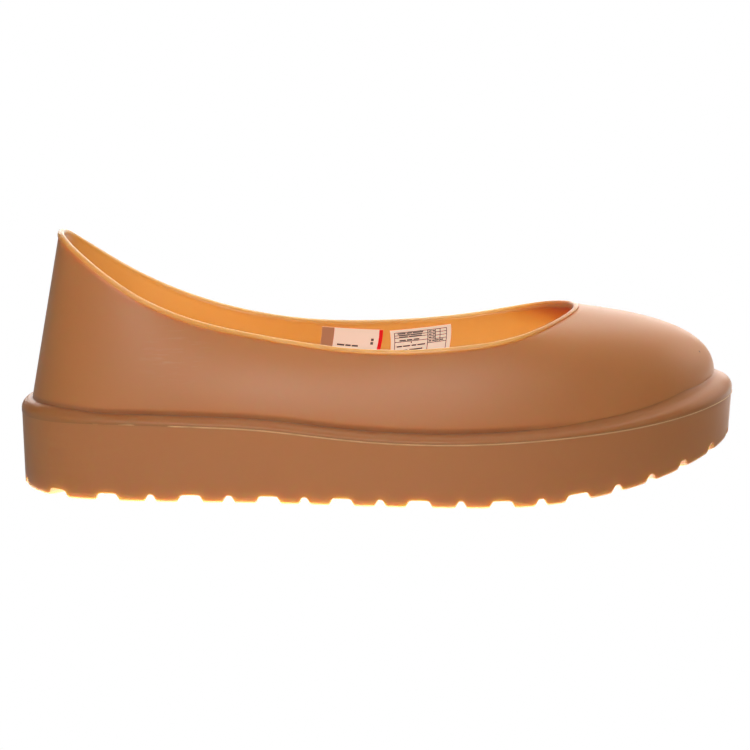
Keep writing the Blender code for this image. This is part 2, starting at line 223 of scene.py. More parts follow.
LUGS = (
    Lug("heel middle, half", 5.7, 4.9, 0),
    Lug("heel corner", 18.0, 9.9, 0),
    Lug("heel side", 12.4, 9.7, 1),
    Lug("pair 1, rear", 10.3, 4.6, 2),
    Lug("pair 1, front", 8.7, 10.4, 2),
    Lug("pair 2, rear", 8.1, 4.9, 3),
    Lug("pair 2, front", 8.7, 10.0, 3),
    Lug("pair 3, rear", 7.5, 4.6, 4),
    Lug("pair 3, front", 7.8, 10.1, 4),
    Lug("pair 4, rear", 8.4, 4.6, 5),
    Lug("pair 4, front", 8.1, 10.7, 5),
    Lug("pair 5, rear", 9.4, 4.6, 6),
    Lug("pair 5, front", 9.3, 10.3, 6),
    Lug("pair 6, rear", 8.3, 4.9, 7),
    Lug("pair 6, front", 7.5, 10.3, 7),
    Lug("toe 1", 9.0, 4.7, 8),
    Lug("toe 2", 10.0, 4.4, 8),
    Lug("toe 3", 10.8, 5.0, 9),
    Lug("toe 4", 12.3, 4.9, 9),
    Lug("toe 5", 13.3, 4.9, 0),
    Lug("toe middle, half", 4.8, 0.0, 0),
)

FLASH_PROFILE = (
    FlashPoint(0.80, 0.00, 0.0, 0.0),
    FlashPoint(0.35, 0.05, 0.0, 0.0),
    FlashPoint(0.15, 0.00, 1.0, 1.0),
    FlashPoint(0.00, 0.00, 1.0, 0.8),
    FlashPoint(0.00, -0.08, 1.0, 0.0),
    FlashPoint(0.02, -0.22, 0.0, 0.0),
)


def linear(hex_colour: str) -> tuple[float, float, float, float]:
    """Turns an sRGB hex colour into linear light.

    Args:
        hex_colour: Colour such as "#b07a52".

    Returns:
        Red, green, blue and alpha for a shader socket.
    """
    parts = [int(hex_colour[i : i + 2], 16) / 255 for i in (1, 3, 5)]
    light = [p / 12.92 if p <= 0.04045 else ((p + 0.055) / 1.055) ** 2.4 for p in parts]
    return (*light, 1.0)


def add_node(
    tree: Tree, kind: str, sockets: dict[str | int, Any] | None = None, out: str | int = 0, **settings: Any
) -> Socket | None:
    """Adds a shader node with its settings, socket values and links.

    Args:
        tree: Node tree that the node goes into.
        kind: Blender's name for the node's type.
        sockets: Values or other nodes' outputs for the input sockets, by name or number.
        out: Name or number of the output to give back.
        **settings: Properties of the node itself.

    Returns:
        That output of the new node, or None where it has no outputs.
    """
    node = tree.nodes.new(kind)
    for name, value in settings.items():
        setattr(node, name, value)
    for name, value in (sockets or {}).items():
        if isinstance(value, Socket):
            tree.links.new(value, node.inputs[name])
        else:
            node.inputs[name].default_value = value
    return node.outputs[out] if node.outputs else None


def new_material(name: str) -> tuple[bpy.types.Material, Tree]:
    """Makes an empty node material.

    Args:
        name: Name of the material.

    Returns:
        The material and its node tree.
    """
    material = bpy.data.materials.new(name)
    material.use_nodes = True
    material.node_tree.nodes.clear()
    return material, material.node_tree


def put(name: str, data: bpy.types.ID) -> Thing:
    """Puts a mesh, light or camera into the scene.

    Args:
        name: Name of the object.
        data: What it shows.

    Returns:
        The new object.
    """
    thing = bpy.data.objects.new(name, data)
    bpy.context.scene.collection.objects.link(thing)
    return thing


class Pattern(NamedTuple):
    """Noise pattern: the size of its patches in millimetres, and how many finer layers it has."""

    size_mm: float
    detail: float

    def sockets(self, place: Socket) -> dict[str, Any]:
        """Socket values of the noise, for coordinates in metres."""
        return {"Vector": place, "Scale": 1 / (self.size_mm * MM), "Detail": self.detail}


@dataclass
class Spline:
    """Smooth cubic curve through rows of values, with a continuous second derivative."""

    knots: Array
    values: Array
    closed: bool
    slopes: Array = field(init=False)

    def __post_init__(self) -> None:
        """Solves for the slopes at the knots; an open curve has free ends."""
        self.knots = np.asarray(self.knots, float)
        self.values = np.asarray(self.values, float).reshape(len(self.values), -1)
        count = len(self.values)
        spans = np.diff(self.knots)
        ahead = np.roll(self.values, -1, axis=0)
        chords = (ahead[: len(spans)] - self.values[: len(spans)]) / spans[:, None]
        system = np.zeros((count, count))
        target = np.zeros_like(self.values)
        for i in range(count):
            if self.closed or 0 < i < count - 1:
                before = (i - 1) % len(spans)
                system[i, (i - 1) % count] = 1 / spans[before]
                system[i, i] = 2 / spans[before] + 2 / spans[i]
                system[i, (i + 1) % count] = 1 / spans[i]
                target[i] = 3 * (chords[before] / spans[before] + chords[i] / spans[i])
            else:
                system[i, i] = 2
                system[i, 1 if i == 0 else count - 2] = 1
                target[i] = 3 * chords[0 if i == 0 else count - 2]
        self.slopes = np.linalg.solve(system, target)

    def __call__(self, at: Array) -> Array:
        """Reads the curve.

        Args:
            at: Parameters, in an array of any shape.

        Returns:
            The values there, with one more axis than the parameters.
        """
        at = np.asarray(at, float)
        if self.closed:
            at = at % self.knots[-1]
        spans = np.diff(self.knots)
        k = np.clip(np.searchsorted(self.knots, at, side="right") - 1, 0, len(spans) - 1)
        span = spans[k][..., None]
        u = ((at - self.knots[k]) / spans[k])[..., None]
        after = (k + 1) % len(self.values)
        return (
            self.values[k] * (2 * u**3 - 3 * u**2 + 1)
            + self.values[after] * (3 * u**2 - 2 * u**3)
            + self.slopes[k] * span * (u**3 - 2 * u**2 + u)
            + self.slopes[after] * span * (u**3 - u**2)
        )


def raised(plan: Array, height: Array) -> Array:
    """Gives plan points their heights."""
    return np.concatenate([plan, height[..., None]], axis=-1)


class Span(NamedTuple):
    """Two stations, shares or values between which something comes in or lies."""

    begin: float
    end: float

    def ease(self, station: Array) -> Array:
        """Smooth step from 0 at the beginning to 1 at the end."""
        share = np.clip((station - self.begin) / (self.end - self.begin), 0.0, 1.0)
        return share**2 * (3 - 2 * share)


@dataclass
class Last:
    """The form that the mouldings share: the sole's edge in plan, the ribs to the collar and the tread.

    A place on it is given by a turn, about the millimetres along the sole's edge from the back of the heel
    round the outer side, and by the share of the way up the rib there.
    """

    length: float = 290.0
    ball_width: float = 107.0
    sole_height: float = 32.0
    wall: float = 2.2
    seat_gap: float = 0.3
    welt_reach_heel: float = 4.0
    welt_reach_toe: float = 6.8
    foot_rise_side: float = 3.5
    foot_rise_toe: float = 8.0
    foot_rise_heel: float = 5.5
    toe_rise_start: float = 215.0
    heel_rise_span: Span = Span(36.0, 8.0)
    rocker_start: float = 192.0
    rocker_radius: float = 240.0
    heel_lift_start: float = 22.0
    heel_lift: float = 0.9
    turn_step: float = 0.5
    share_step: float = 0.004
    outline_points: int = 4000  # of the sole's edge, to find its box

    def __post_init__(self) -> None:
        """Draws the curves through the tables, and finds where the frame has the shoe's middle."""
        half_ball = self.ball_width / 2
        outline = np.array([(rib.station * self.length, rib.offset * half_ball) for rib in RIBS])
        steps = np.linalg.norm(np.roll(outline, -1, axis=0) - outline, axis=1)
        knots = np.concatenate([[0.0], np.cumsum(steps)])
        collar = [
            (rib.collar_station * self.length, rib.collar_offset * half_ball, rib.collar_height)
            for rib in RIBS
        ]
        tangents = [(rib.foot_in, rib.foot_up, rib.collar_out, rib.collar_down) for rib in RIBS]
        stations = [row.station * self.length for row in EDGE_LINE]
        heights = [row.height * self.sole_height for row in EDGE_LINE]
        self.round = knots[-1]
        self.toe = knots[TOE_RIB]
        self.edge_curve = Spline(knots, outline, closed=True)
        self.collar_curve = Spline(knots, collar, closed=True)
        self.tangents = Spline(knots, tangents, closed=True)
        self.edge_line = Spline(stations, heights, closed=False)
        drawn = self.edge_curve(np.linspace(0, self.round, self.outline_points))
        low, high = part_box("outsole")
        in_frame = np.array(low + high)[:2] / 2 / MM
        self.middle = np.append((drawn.min(axis=0) + drawn.max(axis=0)) / 2 - in_frame, 0.0)

    def turns(self, count: int) -> Array:
        """Places spaced evenly round the shoe."""
        return np.linspace(0, self.round, count, endpoint=False)

    def station(self, turn: Array) -> Array:
        """Distance from the heel of the sole's edge at a turn."""
        return self.edge_curve(turn)[..., 0]

    def edge_height(self, station: Array) -> Array:
        """Height of the top of the sole's edge at a station."""
        return self.edge_line(np.clip(station, 0.0, self.length))[..., 0]

    def tread_height(self, station: Array) -> Array:
        """Height of the tread's lowest surface: flat, with a rocker at the toe and a lift at the heel.

        Args:
            station: Distances from the heel.

        Returns:
            Heights over the floor.
        """
        past = np.clip(station - self.rocker_start, 0, None)
        behind = np.clip(self.heel_lift_start - station, 0, None) / self.heel_lift_start
        return self.rocker_radius - np.sqrt(self.rocker_radius**2 - past**2) + self.heel_lift * behind**2

    def welt_reach(self, station: Array) -> Array:
        """Width of the welt at a station."""
        return self.welt_reach_heel + (self.welt_reach_toe - self.welt_reach_heel) * station / self.length

    def foot_rise(self, station: Array) -> Array:
        """Height of the upper's foot over the sole's edge, which grows towards the toe and the heel.

        Args:
            station: Distances from the heel.

        Returns:
            Heights over the edge.
        """
        past = np.clip(station - self.toe_rise_start, 0, None) / (self.length - self.toe_rise_start)
        at_toe = (self.foot_rise_toe - self.foot_rise_side) * past**2
        at_heel = (self.foot_rise_heel - self.foot_rise_side) * self.heel_rise_span.ease(station)
        return self.foot_rise_side + at_toe + at_heel

    def edge(self, turn: Array, inset: Array | float = 0.0) -> Array:
        """Plan points of the sole's edge, moved in at a right angle to it.

        Args:
            turn: Places along the edge.
            inset: How far in.

        Returns:
            Station and offset of each point.
        """
        along = self.edge_curve(turn + self.turn_step) - self.edge_curve(turn - self.turn_step)
        along /= np.linalg.norm(along, axis=-1, keepdims=True)
        inward = np.stack([-along[..., 1], along[..., 0]], axis=-1)
        return self.edge_curve(turn) + inward * np.asarray(inset)[..., None]

    def foot(self, turn: Array) -> Array:
        """Where the upper's outside comes out of the welt.

        Args:
            turn: Places round the shoe.

        Returns:
            One point for each.
        """
        station = self.station(turn)
        plan = self.edge(turn, self.welt_reach(station) + self.seat_gap)
        height = self.edge_height(station) + self.foot_rise(station)
        return raised(plan, height)

    def handles(self, turn: Array) -> tuple[Array, Array, Array, Array]:
        """Control points of ribs.

        Args:
            turn: Places round the shoe.

        Returns:
            The four points of each rib, from the foot to the collar.
        """
        foot, collar = self.foot(turn), self.collar_curve(turn)
        run = (collar - foot) * (1, 1, 0)
        rise = (collar - foot) * (0, 0, 1)
        foot_in, foot_up, collar_out, collar_down = np.moveaxis(self.tangents(turn)[..., None], -2, 0)
        low = foot + run * foot_in + rise * foot_up
        high = collar - run * collar_out - rise * collar_down
        return foot, low, high, collar

    def rib(self, turn: Array, share: Array) -> Array:
        """Points of the upper's outer face.

        Args:
            turn: Places round the shoe.
            share: Shares up the ribs there, 0 at the foot and 1 at the collar.

        Returns:
            Points in millimetres.
        """
        a, b, c, d = self.handles(turn)
        up = np.asarray(share)[..., None]
        rest = 1 - up
        return a * rest**3 + b * 3 * rest**2 * up + c * 3 * rest * up**2 + d * up**3

    def on_wall(self, turn: Array, share: Array, depth: Array | float) -> Array:
        """Points of the upper's wall.

        Args:
            turn: Places round the shoe.
            share: Shares up the ribs there.
            depth: How far in from the outer face, at a right angle to it.

        Returns:
            Points in millimetres.
        """
        share = np.broadcast_to(share, np.shape(turn))
        along = self.rib(turn + self.turn_step, share) - self.rib(turn - self.turn_step, share)
        low, high = np.clip(share - self.share_step, 0, None), np.clip(share + self.share_step, None, 1)
        inward = np.cross(self.rib(turn, high) - self.rib(turn, low), along)
        inward /= np.linalg.norm(inward, axis=-1, keepdims=True)
        return self.rib(turn, share) + inward * np.asarray(depth)[..., None]

    def collar_share(self, turn: Array, drop: Array | float) -> Array:
        """Share up each rib that lies a short drop below the collar."""
        _, _, high, collar = self.handles(turn)
        return 1 - drop / (3 * np.linalg.norm(collar - high, axis=-1))

    def foot_share(self, turn: Array, rise: Array | float) -> Array:
        """Share up each rib that lies a short rise above the foot."""
        foot, low, _, _ = self.handles(turn)
        return rise / (3 * (low - foot)[..., 2])

    def lean(self, turn: Array) -> Array:
        """How flat the wall lies at the collar: 0 where it is upright, 1 where it is level."""
        _, _, high, collar = self.handles(turn)
        return 1 - ((collar - high)[..., 2] / np.linalg.norm(collar - high, axis=-1)) ** 2

    def place(self, points: Array) -> Array:
        """Turns millimetres on the last into metres in the frame."""
        return (points - self.middle) * MM


def skin(name: str, rings: Array, filled: bool = False) -> Thing:
    """Makes a closed mesh that joins each ring to the next.

    Args:
        name: Name of the piece.
        rings: Points in metres by ring, place in the ring and axis.
        filled: Fills the first and the last ring across, instead of joining them to each other.

    Returns:
        The new object, shaded smooth.
    """
    count, around = rings.shape[:2]
    index = np.arange(count * around).reshape(count, around)
    lower = index[:-1] if filled else index
    upper = index[1:] if filled else np.roll(index, -1, axis=0)
    sides = [lower, np.roll(lower, -1, axis=1), np.roll(upper, -1, axis=1), upper]
    faces = np.stack(sides, axis=-1).reshape(-1, 4).tolist()
    if filled:
        for ring in (index[0], index[-1]):
            for i in range(around // 2):
                rung = (ring[i], ring[i + 1], ring[-i - 1], ring[-i])
                faces.append([int(corner) for corner in dict.fromkeys(rung)])
    mesh = bpy.data.meshes.new(name)
    mesh.from_pydata(rings.reshape(-1, 3).tolist(), [], faces)
    form = bmesh.new()
    form.from_mesh(mesh)
    bmesh.ops.recalc_face_normals(form, faces=form.faces)
    form.to_mesh(mesh)
    form.free()
    mesh.shade_smooth()
    mesh.set_sharp_from_angle(angle=SHARP_ANGLE)
    return put(name, mesh)


def paint(piece: Thing, name: str, values: Array) -> None:
    """Gives each point of a mesh a value that its material reads.

    Args:
        piece: The object.
        name: Name of the attribute.
        values: One value for each point.
    """
    piece.data.attributes.new(name, "FLOAT", "POINT").data.foreach_set("value", values.astype(np.float32))


@dataclass(frozen=True)
class MouldedRubber:
    """Thermoplastic rubber, injection moulded in a steel tool with a fine blasted skin.

    The tool's skin gives an even satin with soft, wide highlights. The rubber is coloured through and a
    little translucent: red light goes furthest into it, so that thin walls and edges glow orange.
    """

    name: str
    colour: str
    cloud_colour: str
    # pale colour of scuffs and of trimmed flash; on the flash it is partly a painted highlight
    worn_and_highlight_colour: str
    roughness: float
    light_reach_mm: tuple[float, float, float]  # red, green and blue
    through_reach_mm: tuple[float, float, float] = (16.0, 11.0, 7.0)  # for light that comes through a wall
    roughness_spread: float = 0.04
    inside_roughness: float = 0.36  # the core that forms the inside and the bead is polished
    ior: float = 1.42
    cloud: Pattern = Pattern(38.0, 3.0)  # patches where the colour ran a little lighter
    wave: Pattern = Pattern(30.0, 1.0)  # sink marks of the cooled wall
    wave_depth_mm: float = 0.05
    grain: Pattern = Pattern(0.7, 2.0)  # the blasted skin is about 0.15 mm; drawn coarser, so that it shows
    grain_depth_mm: float = 0.012
    scratch: Pattern = Pattern(0.9, 2.0)  # about 0.2 mm wide; drawn coarser, so that they show
    scratch_length_mm: float = 9.0
    scratch_band: Span = Span(0.56, 0.72)  # values of the noise between which a scratch comes in
    scratch_strength: float = 0.35
    # painted shade: colour mixed in where shade is painted, in hollows and creases
    shade_colour: str = "#a56c50"
    specks: tuple[tuple[float, float, float], ...] = ()  # dark flecks moulded in, in metres
    speck_mm: float = 0.6
    speck_colour: str = "#4a2c1e"
    bloom: float = 0.12  # wax that comes to the skin: a pale haze where one looks along it
    bloom_roughness: float = 0.4

    def scratches(self, tree: Tree, place: Socket) -> Socket:
        """Draws long level scratches.

        Args:
            tree: Node tree that they go into.
            place: Coordinates in metres.

        Returns:
            How scratched each place is.
        """
        squeeze = self.scratch.size_mm / self.scratch_length_mm
        along = add_node(tree, "ShaderNodeMapping", {"Vector": place, "Scale": (squeeze, squeeze, 1.0)})
        streaks = add_node(tree, "ShaderNodeTexNoise", self.scratch.sockets(along), "Fac")
        low, high = self.scratch_band
        band = {"Value": streaks, "From Min": low, "From Max": high, "To Max": self.scratch_strength}
        return add_node(tree, "ShaderNodeMapRange", band)

    def material(self) -> bpy.types.Material:
        """Builds the node material.

        Returns:
            The new material.
        """
        material, tree = new_material(self.name)
        place = add_node(tree, "ShaderNodeTexCoord", out="Object")
        wear_and_highlight, scuff, painted_shade, inside = [
            add_node(tree, "ShaderNodeAttribute", out="Fac", attribute_name=name)
            for name in (WEAR_AND_HIGHLIGHT, SCUFF, PAINTED_SHADE, INSIDE)
        ]
        cloud, wave, grain = [
            add_node(tree, "ShaderNodeTexNoise", pattern.sockets(place), "Fac")
            for pattern in (self.cloud, self.wave, self.grain)
        ]
        scratched = {0: self.scratches(tree, place), 1: scuff}
        scraped = add_node(tree, "ShaderNodeMath", scratched, operation="MULTIPLY")
        pale = add_node(tree, "ShaderNodeMath", {0: scraped, 1: wear_and_highlight}, operation="MAXIMUM")
        # lighter patches, pale scuffs and flash (the flash partly a painted highlight), painted shade in
        # hollows and creases, and specks
        layers = [(cloud, self.cloud_colour), (pale, self.worn_and_highlight_colour), (painted_shade, self.shade_colour)]
        for speck in self.specks:
            apart = {0: place, 1: speck}
            away = add_node(tree, "ShaderNodeVectorMath", apart, "Value", operation="DISTANCE")
            near = {"Value": away, "From Min": self.speck_mm * MM, "From Max": 0.0}
            layers.append((add_node(tree, "ShaderNodeMapRange", near), self.speck_colour))
        colour = linear(self.colour)
        for share, layer in layers:
            mix = {0: share, 6: colour, 7: linear(layer)}
            colour = add_node(tree, "ShaderNodeMix", mix, 2, data_type="RGBA")
        reaches = {0: inside, 4: self.light_reach_mm, 5: self.through_reach_mm}
        sink = add_node(tree, "ShaderNodeBump", {"Height": wave, "Distance": self.wave_depth_mm * MM})
        skin_bump = {"Height": grain, "Distance": self.grain_depth_mm * MM, "Normal": sink}
        smooth, rough = self.roughness - self.roughness_spread, self.roughness + self.roughness_spread
        satin = add_node(tree, "ShaderNodeMapRange", {"Value": cloud, "To Min": smooth, "To Max": rough})
        polish = {0: inside, 2: satin, 3: self.inside_roughness}
        unworn = {"Value": wear_and_highlight, "To Min": 1.0, "To Max": 0.0}
        shader = add_node(
            tree,
            "ShaderNodeBsdfPrincipled",
            {
                "Base Color": colour,
                "Roughness": add_node(tree, "ShaderNodeMix", polish),
                "IOR": self.ior,
                "Normal": add_node(tree, "ShaderNodeBump", skin_bump),
                "Subsurface Weight": add_node(tree, "ShaderNodeMapRange", unworn),
                "Subsurface Radius": add_node(tree, "ShaderNodeMix", reaches, 1, data_type="VECTOR"),
                "Subsurface Scale": MM,
                "Sheen Weight": self.bloom,
                "Sheen Roughness": self.bloom_roughness,
            },
        )
        add_node(tree, "ShaderNodeOutputMaterial", {"Surface": shader})
        return material


UPPER_RUBBER = MouldedRubber(
    "moulded_rubber_upper",
    colour="#d99158",
    cloud_colour="#dd975e",
    worn_and_highlight_colour="#e0ac84",
    roughness=0.46,
    light_reach_mm=(1.8, 1.3, 0.9),
    specks=((0.1313, -0.0080, 0.0563),),
)
WELT_RUBBER = MouldedRubber(
    "moulded_rubber_welt",
    colour="#c88450",
    cloud_colour="#cc8a56",
    worn_and_highlight_colour="#d6a27a",
    roughness=0.44,
    light_reach_mm=(1.5, 1.2, 0.9),
)
SOLE_RUBBER = MouldedRubber(
    "moulded_rubber_sole",
    colour="#d68e58",
    cloud_colour="#da945e",
    worn_and_highlight_colour="#ffcc94",
    # the trimmed flash's pale colour: paler trimmed rubber, and partly a painted highlight
    roughness=0.48,
    light_reach_mm=(1.5, 1.2, 0.9),
    through_reach_mm=(5.0, 9.0, 3.5),
)


@dataclass(frozen=True)
class PrintedPaper:
    """Uncoated label paper, printed in one flat colour: dull, with a faint fibre.

    The sheet is thin, and the glow of the wall behind it comes through. The renderer takes that wall for
    opaque after the light's first bounce, so the glow is given to the sheet itself.
    """

    name: str
    colour: str
    roughness: float = 0.75
    fibre: Pattern = Pattern(0.5, 3.0)  # fibres are finer than 0.1 mm; drawn coarser, so that they show
    fibre_depth_mm: float = 0.01
    glow: float = 0.37

    def material(self) -> bpy.types.Material:
        """Builds the node material.

        Returns:
            The new material.
        """
        material, tree = new_material(self.name)
        place = add_node(tree, "ShaderNodeTexCoord", out="Object")
        fibre = add_node(tree, "ShaderNodeTexNoise", self.fibre.sockets(place), "Fac")
        bump = {"Height": fibre, "Distance": self.fibre_depth_mm * MM}
        shader = add_node(
            tree,
            "ShaderNodeBsdfPrincipled",
            {
                "Base Color": linear(self.colour),
                "Roughness": self.roughness,
                "Normal": add_node(tree, "ShaderNodeBump", bump),
                "Emission Color": linear(self.colour),
                "Emission Strength": self.glow,
            },
        )
        add_node(tree, "ShaderNodeOutputMaterial", {"Surface": shader})
        return material


class Scuffs(NamedTuple):
    """Patch of fine scratches: its middle and radius in metres, and how steeply it fades at its edge."""

    middle: tuple[float, float, float]
    radius: float
    fade: float = 1.5

    def share(self, points: Array) -> Array:
        """How scratched the skin is at some points: 1 in the middle, 0 beyond the radius."""
        away = np.linalg.norm(points - np.array(self.middle), axis=-1) / self.radius
        return np.clip(self.fade * (1 - away), 0.0, 1.0)


@dataclass
class Moulding:
    """One rubber moulding, which stands for a solid of the frame."""

    last: Last
    finish: MouldedRubber
    node: str
    slot: str

    def dress(self, piece: Thing) -> Thing:
        """Gives a mesh its finish and its place in the frame.

        Args:
            piece: The moulding's mesh.

        Returns:
            The same object.
        """
        piece.data.materials.append(self.finish.material())
        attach(piece, BODY)
        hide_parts(self.node)
        return piece


@dataclass
class Upper(Moulding):
    """The hollow upper, with the bead round its collar."""

    bead_height: float = 2.2
    bead_proud: float = 0.5
    bead_proud_flat: float = 0.7
    bead_inside: float = 0.1
    groove_width: float = 0.4
    groove_depth: float = 0.22
    hollow_depth: float = 0.8
    # painted shade in the hollow over the welt, where it faces down
    hollow_shade: float = 0.5
    shade_gain: float = 2.0  # painted shade for each share of the hollow's depth, up to full
    hollow_heel: Span = Span(16.0, 40.0)
    hollow_toe: Span = Span(235.0, 190.0)
    columns: int = 420
    outer_rings: int = 44
    bead_rings: int = 26
    inner_rings: int = 28
    toe_shade: Span = Span(215.0, 275.0)  # stations between which the glow dims towards the toe
    toe_dim: float = 0.7
    scuffs: Scuffs = Scuffs((-0.082, -0.035, 0.059), 0.017)
    collar_glow: Span = Span(0.95, 1.10)  # shares up the wall where light from the inside comes through

    def skirt(self, turns: Array, depth: float) -> Array:
        """Lower edge of the wall, which sits on the sole behind the welt.

        Args:
            turns: Places round the shoe.
            depth: How far in from the wall's outer face.

        Returns:
            One point for each turn.
        """
        station = self.last.station(turns)
        inset = self.last.welt_reach(station) + self.last.seat_gap + depth
        height = self.last.edge_height(station) + self.last.seat_gap
        return raised(self.last.edge(turns, inset), height)

    def build(self) -> Thing:
        """Makes the wall's outside, the bead and the wall's inside as one skin.

        Returns:
            The upper.
        """
        last = self.last
        turns = last.turns(self.columns)
        top = last.collar_share(turns, self.bead_height + self.groove_width)
        proud = self.bead_proud + (self.bead_proud_flat - self.bead_proud) * last.lean(turns)
        profile = Spline(np.arange(len(BEAD_PROFILE)), BEAD_PROFILE, closed=False)
        station = last.station(turns)
        hollow = self.hollow_depth * self.hollow_heel.ease(station) * self.hollow_toe.ease(station)
        rings = [self.skirt(turns, 0.0)]
        for point in HOLLOW_PROFILE:
            rings.append(last.on_wall(turns, last.foot_share(turns, point.rise), point.depth * hollow))
        foot = last.foot_share(turns, HOLLOW_PROFILE[-1].rise)
        inside = [0.0] * len(rings)
        for share in np.linspace(0, 1, self.outer_rings)[1:]:
            rings.append(last.on_wall(turns, foot + share * (top - foot), 0.0))
            inside.append(float(self.collar_glow.ease(share)))
        rings.append(last.on_wall(turns, last.collar_share(turns, self.bead_height), self.groove_depth))
        for drop, through in profile(np.linspace(0, len(BEAD_PROFILE) - 1, self.bead_rings)):
            depth = through * (proud + last.wall + self.bead_inside) - proud
            rings.append(last.on_wall(turns, last.collar_share(turns, drop * self.bead_height), depth))
        for share in np.linspace(1, 0, self.inner_rings):
            rings.append(last.on_wall(turns, share * top, last.wall))
        rings.append(self.skirt(turns, last.wall))
        inside += [1.0] * (len(rings) - len(inside))
        points = last.place(np.array(rings))
        piece = skin("upper_smooth", points)
        painted_shade = np.zeros((len(rings), self.columns))
        # painted shade in the hollow: darker where the hollow is deeper, fading out towards the toe
        shade_shares = [min(1.0, self.shade_gain * point.depth) for point in HOLLOW_PROFILE]
        painted_shade[1 : 1 + len(shade_shares)] = self.hollow_shade * np.outer(shade_shares, self.hollow_toe.ease(station))
        glow = np.outer(inside, 1 - self.toe_dim * self.toe_shade.ease(station))
        paint(piece, INSIDE, glow.ravel())
        paint(piece, PAINTED_SHADE, painted_shade.ravel())
        paint(piece, SCUFF, self.scuffs.share(points.reshape(-1, 3)))
        return self.dress(piece)


@dataclass
class Welt(Moulding):
    """The rounded rib on the sole's edge, round the foot of the upper."""

    fillet_begin: Span = Span(195.0, 235.0)
    fillet_end: Span = Span(274.0, 290.0)
    fillet_loss: float = 0.5  # how much smaller it is at the tip
    crease: Span = Span(0.7, 1.0)  # insets between which painted shade comes in at the foot of the upper
    crease_shade: float = 0.5
    columns: int = 420
    profile_rings: int = 49

    def build(self) -> Thing:
        """Makes the rib as a ring of its profile.

        Returns:
            The welt.
        """
        last = self.last
        turns = last.turns(self.columns)
        station = last.station(turns)
        rise = last.foot_rise(station)
        fillet = self.fillet_begin.ease(station) * (1 - self.fillet_loss * self.fillet_end.ease(station))
        profile = Spline(np.arange(len(WELT_PROFILE)), WELT_PROFILE, closed=False)
        edge = last.edge(turns)
        across = last.foot(turns)[:, :2] - edge
        rings, painted_shade = [], []
        for row in profile(np.linspace(0, len(WELT_PROFILE) - 1, self.profile_rings)):
            point = WeltPoint(*row)
            # painted shade in the crease at the foot of the upper, left off the toe's fillet
            painted_shade.append(self.crease_shade * self.crease.ease(point.inset) * (1 - fillet))
            inset = point.inset + (point.toe_inset - point.inset) * fillet
            up = point.rise + (point.toe_rise - point.rise) * fillet
            height = last.edge_height(station) + up * rise
            rings.append(raised(edge + across * inset[:, None], height))
        piece = skin("welt_smooth", last.place(np.array(rings)))
        paint(piece, PAINTED_SHADE, np.array(painted_shade).ravel())
        return self.dress(piece)


class LugColumn(NamedTuple):
    """Column of the sole's mesh: its turn, and the levels of lugs and bars there, 1 on their soles."""

    turn: float
    lug: float
    bar: float


